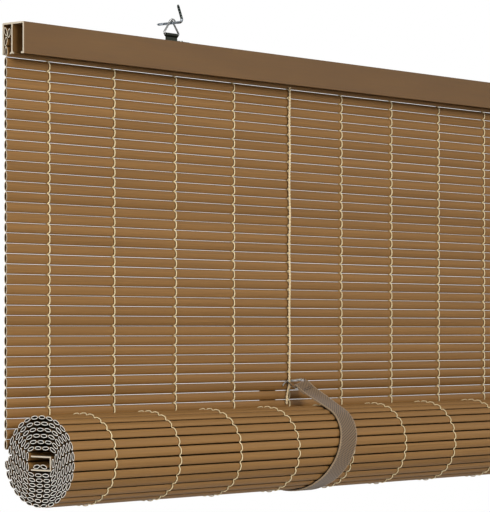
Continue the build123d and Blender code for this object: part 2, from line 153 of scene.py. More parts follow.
def smooth_line(points, per_span):
    """Points on a smooth line through the given points."""
    pts = [Vector(p) for p in points]
    pts = [2 * pts[0] - pts[1]] + pts + [2 * pts[-1] - pts[-2]]
    line = []
    for a, b, c, d in zip(pts, pts[1:], pts[2:], pts[3:]):
        for k in range(per_span):
            t = k / per_span
            line.append(0.5 * (2 * b + (c - a) * t + (2 * a - 5 * b + 4 * c - d) * t**2
                               + (3 * b - a - 3 * c + d) * t**3))
    return line + [pts[-2]]


def tube(verts, faces, line, radius, sides, closed=False, taper=None):
    """Adds a round tube along a line to the lists, with capped ends unless it is closed."""
    base = len(verts)
    count = len(line)
    normal = Vector((1, 0, 0))
    for k, p in enumerate(line):
        ahead = line[(k + 1) % count] if closed else line[min(k + 1, count - 1)]
        behind = line[(k - 1) % count] if closed else line[max(k - 1, 0)]
        along = (Vector(ahead) - Vector(behind)).normalized()
        normal = normal - along * normal.dot(along)
        if k == 0 and normal.length < 0.05:
            normal = Vector((0, 0, 1)) - along * along.z
        normal.normalize()
        side = along.cross(normal)
        r = radius * (taper(k / (count - 1)) if taper else 1)
        for j in range(sides):
            a = 2 * math.pi * j / sides
            verts.append(Vector(p) + r * (math.cos(a) * normal + math.sin(a) * side))
    for k in range(count if closed else count - 1):
        here, there = base + k * sides, base + (k + 1) % count * sides
        for j in range(sides):
            n = (j + 1) % sides
            faces.append((here + j, here + n, there + n, there + j))
    if not closed:
        faces.append(tuple(base + j for j in range(sides))[::-1])
        faces.append(tuple(base + (count - 1) * sides + j for j in range(sides)))


def ease(t):
    """A smooth step from 0 to 1."""
    t = min(1.0, max(0.0, t))
    return t * t * (3 - 2 * t)


# Materials

def srgb(r, g, b):
    def one(c):
        c /= 255
        return c / 12.92 if c <= 0.04045 else ((c + 0.055) / 1.055) ** 2.4
    return (one(r), one(g), one(b), 1.0)


class Nodes:
    """A node tree: each call adds a node and returns the output asked for."""

    def __init__(self, tree):
        self.tree = tree

    def node(self, kind, out=0, props=None, **inputs):
        """Inputs go by name, with _ for a space, or by place: i0, i1 and so on."""
        n = self.tree.nodes.new(kind)
        for key, value in (props or {}).items():
            setattr(n, key, value)
        for key, value in inputs.items():
            key = int(key[1:]) if key[0] == "i" and key[1:].isdigit() else key.replace("_", " ")
            self.put(n.inputs[key], value)
        return n.outputs[out]

    def put(self, socket, value):
        if hasattr(value, "is_output"):
            self.tree.links.new(value, socket)
        else:
            socket.default_value = value

    def ramp(self, fac, low, high, to_low=0.0, to_high=1.0):
        return self.node("ShaderNodeMapRange", i0=fac, i1=low, i2=high, i3=to_low, i4=to_high)

    def math(self, kind, a, b=0.0):
        return self.node("ShaderNodeMath", props={"operation": kind}, i0=a, i1=b)

    def sum(self, a, share_a, b, share_b):
        return self.math("ADD", self.math("MULTIPLY", a, share_a), self.math("MULTIPLY", b, share_b))

    def mix(self, fac, a, b, blend="MIX"):
        n = self.tree.nodes.new("ShaderNodeMix")
        n.data_type, n.blend_type = "RGBA", blend
        self.put(n.inputs[0], fac)
        self.put(n.inputs[6], a)
        self.put(n.inputs[7], b)
        return n.outputs[2]

    def shaded(self, colour, shade):
        grey = self.node("ShaderNodeCombineColor", Red=shade, Green=shade, Blue=shade)
        return self.mix(1.0, colour, grey, "MULTIPLY")


class Shader(Nodes):
    """The nodes of a new material."""

    def __init__(self, name):
        self.material = bpy.data.materials.new(name)
        self.material.use_nodes = True
        super().__init__(self.material.node_tree)
        self.bsdf = self.tree.nodes["Principled BSDF"]

    def set(self, **inputs):
        for key, value in inputs.items():
            self.put(self.bsdf.inputs[key.replace("_", " ")], value)

    def coords(self, scale):
        place = self.node("ShaderNodeTexCoord", "Object")
        return self.node("ShaderNodeMapping", i0=place, Scale=scale)

    def noise(self, scale, detail, rough=0.55):
        return self.node("ShaderNodeTexNoise", "Fac", Vector=self.coords(scale), Scale=1.0,
                         Detail=detail, Roughness=rough)

    def bands(self, scale, distortion):
        return self.node("ShaderNodeTexWave", "Fac", Vector=self.coords((1.0, 1.0, 1.0)),
                         props={"wave_type": "BANDS", "bands_direction": "DIAGONAL"},
                         Scale=scale, Distortion=distortion, Detail=1.0)

    def layer(self, name):
        return self.node("ShaderNodeAttribute", "Fac", props={"attribute_name": name})

    def bump(self, height, distance, strength):
        return self.node("ShaderNodeBump", Height=height, Distance=distance, Strength=strength)

    def cut_end(self):
        """One on faces that look along X: the sawn ends."""
        normal = self.node("ShaderNodeNewGeometry", "True Normal")
        x = self.node("ShaderNodeSeparateXYZ", "X", i0=normal)
        return self.ramp(self.math("ABSOLUTE", x), 0.75, 0.85)


# How near another slat must come to darken a slat with painted shade, in millimetres
GAP_REACH = 5.0

# What the tone of slats varies by: the piece, or the slat within a piece
BY_PIECE = ("ShaderNodeObjectInfo", "Random")
BY_SLAT = ("ShaderNodeNewGeometry", "Random Per Island")


def slat_material(name, dark, light, end, chance):
    s = Shader(name)
    fine = s.noise((9.0, 1300.0, 1300.0), 4.0, 0.6)
    broad = s.noise((2.2, 190.0, 190.0), 2.0)
    tone = s.sum(broad, 0.55, s.node(*chance), 0.45)
    colour = s.mix(s.ramp(tone, 0.15, 0.85), dark, light)
    colour = s.shaded(colour, s.ramp(fine, 0.36, 0.66, 0.88, 1.1))
    # Painted shade: the colour darkens where other slats come near, in the gaps between slats and
    # between the roll's turns
    gap_shade = s.node("ShaderNodeAmbientOcclusion", "AO", props={"samples": 8}, Distance=GAP_REACH * MM)
    colour = s.shaded(colour, s.ramp(gap_shade, 0.25, 0.8, 0.1, 1.0))
    s.set(Base_Color=s.mix(s.cut_end(), colour, end), Roughness=s.ramp(fine, 0.2, 0.8, 0.42, 0.58),
          Normal=s.bump(fine, 0.00025, 0.35), Specular_IOR_Level=0.3)
    return s.material


slat_vinyl = slat_material("slat_vinyl", srgb(136, 97, 50), srgb(156, 114, 64),
                           srgb(226, 214, 190), BY_PIECE)
roll_vinyl = slat_material("roll_vinyl", srgb(134, 97, 51), srgb(156, 115, 65),
                           srgb(236, 232, 222), BY_SLAT)


def rail_material():
    s = Shader("rail_vinyl")
    fine = s.noise((30.0, 700.0, 700.0), 5.0, 0.6)
    broad = s.noise((7.0, 40.0, 40.0), 2.0)
    colour = s.mix(s.ramp(broad, 0.25, 0.75), srgb(108, 76, 38), srgb(119, 85, 43))
    colour = s.shaded(colour, s.ramp(fine, 0.3, 0.7, 0.95, 1.05))
    s.set(Base_Color=s.mix(s.cut_end(), colour, srgb(214, 200, 176)),
          Roughness=s.ramp(fine, 0.2, 0.8, 0.42, 0.5), Normal=s.bump(fine, 0.0001, 0.2))
    return s.material


rail_vinyl = rail_material()


def string_material(name, light, dark):
    s = Shader(name)
    fibre = s.noise((2600.0, 2600.0, 700.0), 3.0, 0.6)
    tone = s.sum(fibre, 0.5, s.bands(900.0, 1.5), 0.5)
    s.set(Base_Color=s.mix(s.ramp(tone, 0.25, 0.7), dark, light), Roughness=0.85,
          Normal=s.bump(tone, 0.0002, 0.5), Sheen_Weight=0.3)
    return s.material


string_cotton = string_material("string_cotton", srgb(248, 232, 190), srgb(206, 178, 124))
cord_cotton = string_material("cord_cotton", srgb(255, 238, 198), srgb(206, 172, 118))


def webbing_material():
    """Painted shade, dark between the yarns where the weave dips, and lighter along the selvedges,
    from the strap's own layers.
    """
    s = Shader("webbing_weave")
    fibre = s.noise((1500.0, 1500.0, 1500.0), 4.0, 0.65)
    # Painted shade: near black between the yarns, where the weave dips
    colour = s.mix(s.ramp(s.layer("weave"), 0.2, 0.8), srgb(34, 24, 14), srgb(148, 118, 82))
    colour = s.mix(s.math("MULTIPLY", s.layer("selvedge"), 0.55), colour, srgb(160, 138, 108))
    colour = s.shaded(colour, s.ramp(fibre, 0.25, 0.75, 0.82, 1.14))
    s.set(Base_Color=colour, Roughness=0.8, Normal=s.bump(fibre, 0.0001, 0.4), Sheen_Weight=0.35)
    return s.material


webbing = webbing_material()


def metal_material(name, low, high, rough_low, rough_high):
    s = Shader(name)
    mottle = s.noise((600.0, 600.0, 600.0), 4.0, 0.6)
    s.set(Base_Color=s.mix(s.ramp(mottle, 0.3, 0.7), low, high), Metallic=1.0,
          Roughness=s.ramp(mottle, 0.25, 0.75, rough_low, rough_high),
          Normal=s.bump(mottle, 0.00005, 0.3))
    return s.material


def hook_material():
    """Bright along the hook's arm; up its leg a painted reflection, dark with light streaks."""
    s = Shader("dark_wire")
    mottle = s.noise((500.0, 500.0, 500.0), 4.0, 0.6)
    reflection_streaks = s.bands(190.0, 1.2)
    arm = s.mix(s.ramp(mottle, 0.3, 0.7), srgb(132, 142, 150), srgb(206, 214, 220))
    # Painted reflection: the leg's colour is near black with light streaks, where the arm is bright
    dark = s.mix(s.ramp(reflection_streaks, 0.55, 0.95), srgb(34, 40, 38), srgb(128, 138, 132))
    s.set(Base_Color=s.mix(s.layer("leg"), arm, dark), Metallic=1.0,
          Roughness=s.ramp(mottle, 0.25, 0.75, 0.22, 0.4), Normal=s.bump(reflection_streaks, 0.00008, 0.5))
    return s.material


zinc_wire = metal_material("zinc_wire", srgb(150, 152, 152), srgb(214, 214, 210), 0.22, 0.4)
dark_wire = hook_material()
bracket_steel = metal_material("bracket_steel", srgb(44, 48, 42), srgb(84, 88, 78), 0.35, 0.55)
rivet_metal = metal_material("rivet_metal", srgb(140, 138, 132), srgb(196, 194, 188), 0.3, 0.45)

# Materials of the solids; those not named here are slats
NODE_MATERIALS = {
    "headrail": rail_vinyl,
    "bottom_rail": rail_vinyl,
    "rolled_mat": roll_vinyl,
    "warp_strings": string_cotton,
    "support_cord_left": string_cotton,
    "support_cord_right": string_cotton,
    "strap_left": webbing,
    "strap_right": webbing,
    "strap_rings": zinc_wire,
    "strap_rivets": rivet_metal,
    "hanger_rings": zinc_wire,
    "hanger_brackets": bracket_steel,
    "bracket_rivets": rivet_metal,
    "screw_hooks": dark_wire,
}

for name, obj in nodes.items():
    obj.data.materials.clear()
    obj.data.materials.append(NODE_MATERIALS.get(name, slat_vinyl))


# Slats: hollow ovals, a little uneven in size and lean

OVAL_POINT = 1.12
EDGE_WALL = 1.25 * SLAT_WALL
SLAT_SHARP = 50
CROWN_SPREAD, ROLL_LEAN = (-0.06, 0.05), 0.05
TALL_SPREAD, SLAT_LEAN = (-0.06, 0.04), 1.2

# How much further each edge of a hanging or folded slat reaches, to narrow the slits
LIPS, LOWEST_FOLD_LIPS, FOLD_LIPS = 0.34, 0.5, 0.1


def oval(half, crown, count):
    """A slightly pointed oval, its points in order."""
    points = []
    for k in range(count):
        a = 2 * math.pi * k / count
        c, s = math.cos(a), math.sin(a)
        points.append((half * c, crown * math.copysign(abs(s) ** OVAL_POINT, s)))
    return points


def add_slat(verts, faces, middle, direction, crown, lean=0.0, count=20, tall=SLAT_HALF):
    """One hollow slat from end to end of the blind, open at both ends."""
    (y, z), (dy, dz) = middle, direction
    c, s = math.cos(lean), math.sin(lean)
    dy, dz = dy * c - dz * s, dy * s + dz * c
    rings = []
    for half, thick in ((tall, crown), (tall - EDGE_WALL, crown - SLAT_WALL)):
        for x in (-HALF_WIDTH, HALF_WIDTH):
            ring = []
            for u, v in oval(half, thick, count):
                ring.append(len(verts))
                verts.append((x, y + dy * u - dz * v, z + dz * u + dy * v))
            rings.append(ring)
    out_l, out_r, in_l, in_r = rings
    for a, b in ((out_l, out_r), (in_r, in_l), (in_l, out_l), (out_r, in_r)):
        for j in range(count):
            n = (j + 1) % count
            faces.append((a[j], a[n], b[n], b[j]))


def upright(lean):
    """Direction of a slat that leans so many degrees forward at its top."""
    tilt = math.radians(lean)
    return -math.sin(tilt), math.cos(tilt)


def roll_slats():
    verts, faces = [], []
    for middle, direction in ROLL:
        crown = ROLL_CROWN + rng.uniform(*CROWN_SPREAD)
        add_slat(verts, faces, middle, direction, crown, rng.uniform(-ROLL_LEAN, ROLL_LEAN))
    piece("roll_slats", verts, faces, "blind", roll_vinyl, "slat_vinyl", "rolled_mat",
          sharp=SLAT_SHARP)


def loose_slat(name, y, z, lean, lips, replaced):
    verts, faces = [], []
    tall = SLAT_HALF + lips + rng.uniform(*TALL_SPREAD)
    add_slat(verts, faces, (y, z), upright(lean), SLAT_CROWN, count=24, tall=tall)
    piece(name, verts, faces, "blind", slat_vinyl, "slat_vinyl", replaced, sharp=SLAT_SHARP)


def hanging_slats():
    for i in range(HANGING):
        lean = rng.uniform(-SLAT_LEAN, SLAT_LEAN)
        loose_slat(f"hanging_slat_{i + 1:02d}", MAT_Y, slat_z(i), lean, LIPS, f"slat_{i + 1:02d}")


def folded_slats():
    """The slats folded in the headrail, the lowest first."""
    for i, (way, height, lean) in enumerate(FOLDED_SLATS, 1):
        lips = LOWEST_FOLD_LIPS if i == 1 else FOLD_LIPS
        loose_slat(f"folded_slat_{i}", MAT_Y + way, RAIL_BOTTOM + height, lean, lips,
                   f"rail_slat_{i}")


def last_slats():
    """The slats tucked in the bottom rail."""
    verts, faces = [], []
    floor = HEART[1] - U_HEIGHT / 2 + U_WALL + SLAT_CROWN
    for way, lift, lean in TUCKED_SLATS:
        add_slat(verts, faces, (HEART[0] + way, floor + lift), upright(lean), SLAT_CROWN)
    piece("last_slats", verts, faces, "blind", roll_vinyl, "slat_vinyl", "tucked_slats",
          sharp=SLAT_SHARP)


roll_slats()
hanging_slats()
folded_slats()
last_slats()


# Warp strings: two to a column on the open mat, which change sides in every gap, and one to a
# column round the outside of the roll

STRING_RADIUS, STRING_SIDES, STRING_SPANS = 0.54, 6, 3
STRING_START_Y, STRING_START_Z = 0.9, 3.0
STRING_CLEAR, ROLL_STRING_CLEAR = 0.12, 0.1
STRING_SINK = 0.25
STRING_REACH, ROLL_STRING_REACH = 2.6, 2.2
STRING_BOW, BOW_SPREAD, COLUMN_SPREAD = 0.85, 0.12, 0.15
ROLL_STRING_BOW, ROLL_BOW_SPREAD = 0.5, 0.15
CROSSING_X, CROSSING_Y = 0.35, 0.45
ROLL_CROSSING_X, ROLL_CROSSING_OUT = 0.3, 0.55
STRUNG_ROLL_SLATS = 26


def hanging_strings():
    verts, faces = [], []
    out = SLAT_CROWN + STRING_RADIUS + STRING_CLEAR
    for x in STRINGS:
        phase = rng.uniform(-COLUMN_SPREAD, COLUMN_SPREAD)
        for side in (-1, 1):
            points = [(x, MAT_Y + side * STRING_START_Y, RAIL_BOTTOM + STRING_START_Z)]
            for i in range(HANGING):
                face = side if i % 2 else -side
                bow = -STRING_BOW * face + rng.uniform(-BOW_SPREAD, BOW_SPREAD) + phase
                for shift, ahead, rise in ((-CROSSING_X * face, CROSSING_Y, PITCH / 2),
                                           (bow * 0.8, out - STRING_SINK, STRING_REACH),
                                           (bow, out, 0.0),
                                           (bow * 0.5, out - STRING_SINK, -STRING_REACH)):
                    points.append((x + shift, MAT_Y + face * ahead, slat_z(i) + rise))
            points.append((x, MAT_Y, slat_z(HANGING - 1) - PITCH / 2))
            tube(verts, faces, smooth_line(points, STRING_SPANS), STRING_RADIUS, STRING_SIDES)
    piece("hanging_strings", verts, faces, "blind", string_cotton, "string", "warp_strings")


def roll_strings():
    verts, faces = [], []
    out = ROLL_CROWN + STRING_RADIUS + ROLL_STRING_CLEAR
    for x in STRINGS:
        points = []
        for (y, z), (dy, dz) in ROLL[:STRUNG_ROLL_SLATS]:
            bow = ROLL_STRING_BOW + rng.uniform(-ROLL_BOW_SPREAD, ROLL_BOW_SPREAD)
            for shift, on, off in ((-ROLL_CROSSING_X, -PITCH / 2, ROLL_CROSSING_OUT),
                                   (bow * 0.7, -ROLL_STRING_REACH, out - STRING_SINK),
                                   (bow, 0.0, out),
                                   (bow * 0.5, ROLL_STRING_REACH, out - STRING_SINK)):
                points.append((x + shift, y + dy * on - dz * off, z + dz * on + dy * off))
        tube(verts, faces, smooth_line(points, STRING_SPANS), 0.8 * STRING_RADIUS, STRING_SIDES)
    piece("roll_strings", verts, faces, "blind", string_cotton, "string")


hanging_strings()
roll_strings()


# Metal parts: bent wire

# Wire's end that rests on a hanger ring, from the ring's apex
HANGER_TIP = ((-2.9, 0.5, -2.2), (-1.9, -0.3, 0.1), (-0.3, -1.1, 1.2), (1.9, -1.3, 0.9),
              (3.4, -1.2, -0.3))
TIP_WIRE = 0.75 * RING_WIRE

# Wire's ends on a strap ring: one wound round a leg between two shares of its length, and one
# bent away, from the ring's apex
CURL_WAY, CURL_TURNS, CURL_STEPS, CURL_OFF = (0.24, 0.5), 2.6, 14, 0.35
CURL_FIRST = Vector((0, -1, 0.3))
RING_TAIL = ((-1.2, -1.9, 0.5), (1.2, -2.5, 0.7), (4.4, -2.4, 0.0), (7.4, -2.0, -1.9),
             (9.2, -1.7, -4.2))
END_WIRE = 0.42

STRAP_RING_BENDS = (1.7, 1.9, 1.7)
STRAP_RING_INSET, STRAP_RING_BEYOND = 0.6, 1.6

HOOK_ROOT, HOOK_STEP = 0.2, 1.2
CORE_WIRE, CORE_STEPS = 0.78 * HOOK_WIRE, 10
THREAD_FROM, THREAD_TO, THREAD_TURNS, THREAD_STEPS = 7.2, 0.5, 7, 14
LEG_FADE = 1.5


def rounded(corners, radii, steps, closed=True):
    """A line through corners, each rounded by an arc of its radius."""
    pts = [Vector(c) for c in corners]
    count = len(pts)
    line = []
    for k, corner in enumerate(pts):
        if not closed and k in (0, count - 1):
            line.append(corner)
            continue
        a = (pts[k - 1] - corner).normalized()
        b = (pts[(k + 1) % count] - corner).normalized()
        half = a.angle(b) / 2
        centre = corner + (a + b).normalized() * (radii[k] / math.sin(half))
        start = corner + a * (radii[k] / math.tan(half)) - centre
        turn = math.pi - 2 * half
        axis = a.cross(b)
        for j in range(steps + 1):
            line.append(centre + Matrix.Rotation(-turn * j / steps, 3, axis) @ start)
    return line


def sharp_apex(height):
    """Height of the corner whose arc tops a hanger ring at the given height."""
    half, bend = RING_WIDTH / 2, RING_APEX_BEND
    centre = height - bend
    root = centre**2 * half**4 - (half**2 - bend**2) * half**2 * (centre**2 - bend**2)
    return (centre * half**2 + math.sqrt(root)) / (half**2 - bend**2)


def curl(start, end, radius):
    """A line wound round a leg from start to end."""
    along = (end - start).normalized()
    side = (CURL_FIRST - along * CURL_FIRST.dot(along)).normalized()
    other = along.cross(side)
    line = []
    steps = int(CURL_STEPS * CURL_TURNS)
    for k in range(steps + 1):
        a = 2 * math.pi * CURL_TURNS * k / steps
        off = radius * (math.cos(a) * side + math.sin(a) * other)
        line.append(start + (end - start) * (k / steps) + off)
    return line


def hanger_rings():
    verts, faces = [], []
    half = RING_WIDTH / 2
    for side in (-1, 1):
        x = side * HOOK_X
        corners = [(x - half, BAR_Y, BAR_Z), (x, BAR_Y, BAR_Z + sharp_apex(RING_HEIGHT)),
                   (x + half, BAR_Y, BAR_Z)]
        loop = rounded(corners, (RING_FOOT_BEND, RING_APEX_BEND, RING_FOOT_BEND), 9)
        tube(verts, faces, loop, RING_WIRE, 12, closed=True)
        apex = Vector((x, BAR_Y, BAR_Z + RING_HEIGHT))
        tube(verts, faces, smooth_line([apex + Vector(p) for p in HANGER_TIP], 6), TIP_WIRE, 10)
    piece("wire_rings", verts, faces, "rings", zinc_wire, "zinc_wire", "hanger_rings")


def strap_bar_way(side):
    """Direction of the bar of a strap's ring, towards +X."""
    return Vector((0.86, -0.16 * side, -0.45 * side)).normalized()


def strap_rings():
    verts, faces = [], []
    for side in (-1, 1):
        centre = Vector((side * SUPPORT_X, *STRAP_BAR))
        apex = Vector((side * SUPPORT_X, *STRAP_RING_APEX))
        bar = strap_bar_way(side) * (RING_WIDTH / 2 - STRAP_RING_INSET)
        beyond = apex + (apex - centre).normalized() * STRAP_RING_BEYOND
        foot = centre + bar
        loop = rounded([centre - bar, beyond, foot], STRAP_RING_BENDS, 8)
        tube(verts, faces, loop, STRAP_RING_WIRE, 10, closed=True)
        start, end = (foot + (beyond - foot) * share for share in CURL_WAY)
        tube(verts, faces, curl(start, end, STRAP_RING_WIRE + CURL_OFF), END_WIRE, 8,
             taper=lambda t: 1 if t < 0.93 else 1 - 0.5 * (t - 0.93) / 0.07)
        tail = [apex + Vector((side * x, y, z)) for x, y, z in RING_TAIL]
        tube(verts, faces, smooth_line(tail, 5), END_WIRE, 8)
    piece("strap_wire_rings", verts, faces, "blind", zinc_wire, "zinc_wire", "strap_rings")


def screw_hooks():
    """Arm and leg, and in the wall a core with a thread round it."""
    verts, faces = [], []
    lean = math.radians(HOOK_LEAN)
    front = BAR_Y - HOOK_AHEAD
    for side in (-1, 1):
        x = side * HOOK_X
        top = (x, front + HOOK_LEG * math.sin(lean), HOOK_LEG * math.cos(lean))
        line = rounded([(x, HOOK_ROOT, 0), (x, front, 0), top], (0, HOOK_BEND, 0), 10, closed=False)
        dense = []
        for a, b in zip(line, line[1:]):
            parts = max(1, int((b - a).length / HOOK_STEP))
            dense += [a + (b - a) * (j / parts) for j in range(parts)]
        dense.append(line[-1])
        tube(verts, faces, dense, HOOK_WIRE, 14,
             taper=lambda t: 1 if t < 0.975 else 1 - 0.35 * ((t - 0.975) / 0.025) ** 2)
        core = [Vector((x, HOOK_IN_WALL - (HOOK_IN_WALL - HOOK_ROOT) * j / CORE_STEPS, 0))
                for j in range(CORE_STEPS + 1)]
        tube(verts, faces, core, CORE_WIRE, 12, taper=lambda t: 0.45 + 0.55 * min(1, t / 0.25))
        thread = []
        steps = THREAD_TURNS * THREAD_STEPS
        for k in range(steps + 1):
            a = 2 * math.pi * k / THREAD_STEPS
            y = THREAD_FROM - (THREAD_FROM - THREAD_TO) * k / steps
            reach = CORE_WIRE * (0.75 + 0.25 * min(1, k / THREAD_STEPS / 1.5))
            thread.append(Vector((x + reach * math.cos(a), y, reach * math.sin(a))))
        tube(verts, faces, thread, HOOK_WIRE - CORE_WIRE, 6)
    # Share of the painted reflection: none along the arm, full up the leg
    leg = [min(1.0, max(0.0, v.z / LEG_FADE - 1)) for v in verts]
    piece("square_hooks", verts, faces, "wall_hooks", dark_wire, "dark_wire", "screw_hooks",
          layers={"leg": leg})


# Straps: woven webbing drawn round the roll, hemmed round the ring's bar

WEAVE_PERIOD, WEAVE_RELIEF, RIB_PERIOD = 1.35, 0.16, 1.6
STRAP_COLUMNS, STRAP_STEP, STRAP_SHARP = 46, 0.46, 60
HULL_STEPS, HULL_SLATS, HULL_SPACING = 44, 40, 3.0
TWIST_RUN, TAPER_START, TAPER_RUN = 42.0, 6, 34.0
CUP_DEPTH, CUP_START, CUP_END = 1.1, 2, 8

# The hem lies HEM_LAP under the strap, from HEM_CLOSING past the bar
HEM_RADIUS, HEM_LENGTH, HEM_LAP, HEM_CLOSING, HEM_STEPS = 1.42, 12.0, 1.3, 5, 12
STITCH_ROWS, STITCHES, STITCH_RADIUS, STITCHED_SHARE = (7.2, 9.4), 7, 0.2, 0.82


def strap_x(y, z):
    """How far from the blind's middle the strap runs at a place."""
    return SUPPORT_X - STRAP_SKEW_Y * (y - STRAP_BAR[0]) - STRAP_SKEW_Z * (z - STRAP_BAR[1])


def roll_reach(angle):
    """How far the roll's outer slats reach in a direction."""
    c, s = math.cos(angle), math.sin(angle)
    reach = -1e9
    for (y, z), (dy, dz) in ROLL[:HULL_SLATS]:
        for u, thick in ((-1.0, 0.3), (-0.55, 1.5), (0.55, 1.5), (1.0, 0.3)):
            for v in (-thick, thick):
                there = (y + dy * u * SLAT_HALF - dz * v) * c + (z + dz * u * SLAT_HALF + dy * v) * s
                reach = max(reach, there)
    return reach


def evenly(line, step):
    """Points about a step apart along a line, both ends kept."""
    lengths = [(b - a).length for a, b in zip(line, line[1:])]
    total = sum(lengths)
    count = max(2, round(total / step))
    out, k, done = [], 0, 0.0
    for j in range(count + 1):
        want = total * j / count
        while k < len(lengths) - 1 and done + lengths[k] < want:
            done += lengths[k]
            k += 1
        share = min(1.0, (want - done) / max(lengths[k], 1e-9))
        out.append(line[k] + (line[k + 1] - line[k]) * share)
    return out


def strap_line(side):
    """The strap's middle line: from the ring down the roll's front and up behind the mat."""
    gap = STRAP_GAP + STRAP_THICK / 2
    by, bz = STRAP_BAR
    start = math.radians(90)
    while by * math.cos(start) + bz * math.sin(start) >= roll_reach(start) + gap:
        start += math.radians(0.5)
    angles = [start + (2 * math.pi - start) * k / HULL_STEPS for k in range(HULL_STEPS)]
    rear = MAT_Y + SLAT_CROWN + gap
    lines = [(a, roll_reach(a) + gap) for a in angles] + [(2 * math.pi, rear)]
    flat = [(by, bz)]
    for (a, ra), (b, rb) in zip(lines, lines[1:]):
        turn = math.sin(b - a)
        flat.append(((ra * math.sin(b) - rb * math.sin(a)) / turn,
                     (rb * math.cos(a) - ra * math.cos(b)) / turn))
    flat.append((rear, slat_z(STRAP_ANCHOR) + STRAP_ABOVE_ANCHOR))
    fixed = strap_x(rear, ROLL_Z)
    line = []
    for y, z in flat:
        behind = y > MAT_Y and z > ROLL_Z
        line.append(Vector((side * (fixed if behind else strap_x(y, z)), y, z)))
    return evenly(line, HULL_SPACING)


def strap_frames(side):
    """Way from the bar, middle, along, outward and across of the strap, the hem's end first."""
    line = evenly(smooth_line(strap_line(side), 6), STRAP_STEP)
    bar_way = strap_bar_way(side)
    frames = []
    for k, p in enumerate(line):
        s = k * STRAP_STEP
        along = (line[min(k + 1, len(line) - 1)] - line[max(k - 1, 0)]).normalized()
        out = Vector((0, along.z, -along.y)).normalized()
        across = bar_way.lerp(out.cross(along), ease(s / TWIST_RUN))
        across = (across - along * across.dot(along)).normalized()
        frames.append((s, p, along, along.cross(across), across))
    hem, main = [], []
    for s, p, along, out, across in frames:
        up = HEM_RADIUS * (1 - ease(s / HEM_LENGTH))
        main.append((s, p + out * up, along, out, across))
        if 0 < s < HEM_LENGTH:
            drop = up - HEM_LAP - (2 * HEM_RADIUS - HEM_LAP) * (1 - ease(s / HEM_CLOSING))
            hem.insert(0, (-s, p + out * drop, -along, -out, across))
    _, centre, along, out, across = frames[0]
    for k in range(1, HEM_STEPS):
        a = math.pi * k / HEM_STEPS
        way = -out * math.cos(a) - along * math.sin(a)
        turned = out * math.sin(a) - along * math.cos(a)
        hem.append((0.0, centre + way * HEM_RADIUS, turned, way, across))
    return hem + main


def weave_at(v, run):
    """Relief, tone and share of selvedge at a place across and along the strap; the tone is painted
    shade, dark where the weave dips between the yarns.
    """
    knit = (math.sin(math.pi * v * STRAP_WIDTH / 2 / WEAVE_PERIOD)
            * math.sin(math.pi * run / WEAVE_PERIOD))
    bound = ease((abs(v) - 0.84) / 0.06)
    rib = 0.5 + 0.5 * math.sin(2 * math.pi * run / WEAVE_PERIOD / RIB_PERIOD)
    relief = WEAVE_RELIEF * (knit * (1 - bound) + bound * (0.35 + 0.4 * rib))
    return relief, 0.5 + 0.5 * knit * (1 - bound) + 0.3 * bound * rib, bound


def strap(word, frames):
    verts, faces, weave, selvedge = [], [], [], []
    count = 2 * (STRAP_COLUMNS + 1)
    run = 0.0
    before = frames[0][1]
    for s, p, along, out, across in frames:
        run += (p - before).length
        before = p
        wider = (STRAP_WIDTH - STRAP_END_WIDTH) * ease((abs(s) - TAPER_START) / TAPER_RUN)
        half = (STRAP_END_WIDTH + wider) / 2
        cup = (CUP_DEPTH * (1 - ease((abs(s) - CUP_END) / TAPER_RUN))
               * ease((abs(s) - CUP_START) / (CUP_END - CUP_START)))
        for face in (1, -1):
            for j in range(STRAP_COLUMNS + 1):
                v = (2 * j / STRAP_COLUMNS - 1) * face
                edge = max(0.0, (abs(v) - 0.93) / 0.07)
                thick = STRAP_THICK / 2 * math.sqrt(1 - 0.8 * edge**2)
                relief, tone, bound = weave_at(v, run)
                lift = face * (thick - WEAVE_RELIEF / 2 + relief) - cup * (1 - v * v) * 0.5
                verts.append(p + across * (v * half) + out * lift)
                weave.append(tone)
                selvedge.append(bound)
    last = (len(frames) - 1) * count
    for a in range(0, last, count):
        for j in range(count):
            n = (j + 1) % count
            faces.append((a + j, a + n, a + count + n, a + count + j))
    faces.append(tuple(range(count))[::-1])
    faces.append(tuple(last + j for j in range(count)))
    piece(f"webbing_{word}", verts, faces, "blind", webbing, "webbing", f"strap_{word}",
          sharp=STRAP_SHARP, layers={"weave": weave, "selvedge": selvedge})


def stitches(word, frames):
    """Two rows of stitches that hold the hem."""
    verts, faces = [], []
    half = STRAP_END_WIDTH / 2 * STITCHED_SHARE
    for row in STITCH_ROWS:
        _, p, _, out, across = min((f for f in frames if f[0] > 0), key=lambda f: abs(f[0] - row))
        for j in range(STITCHES):
            v = -half + 2 * half * (j + 0.18) / STITCHES
            w = -half + 2 * half * (j + 0.82) / STITCHES
            middle = (v + w) / 2
            top = STRAP_THICK / 2 + 0.12 - 0.4 * (1 - (middle / half * STITCHED_SHARE) ** 2)
            ends = [p + across * a + out * (top + h)
                    for a, h in ((v, -0.35), (middle, 0.12), (w, -0.35))]
            tube(verts, faces, smooth_line(ends, 4), STITCH_RADIUS, 6)
    piece(f"strap_stitches_{word}", verts, faces, "blind", webbing, "webbing")


# Support cords: two plies twisted together, drawn aside under the strap's ring

PLY_RADIUS, PLY_SIDES, PLY_LAY, LAY_STEPS = 0.56, 7, 5.4, 12
PLY_OFF_X, PLY_OFF_Y = 0.52, 0.45
CORD_KINK, KINK_RUN = 4.2, 17
CORD_WAVER, WAVER_RUN = 0.35, 9.0


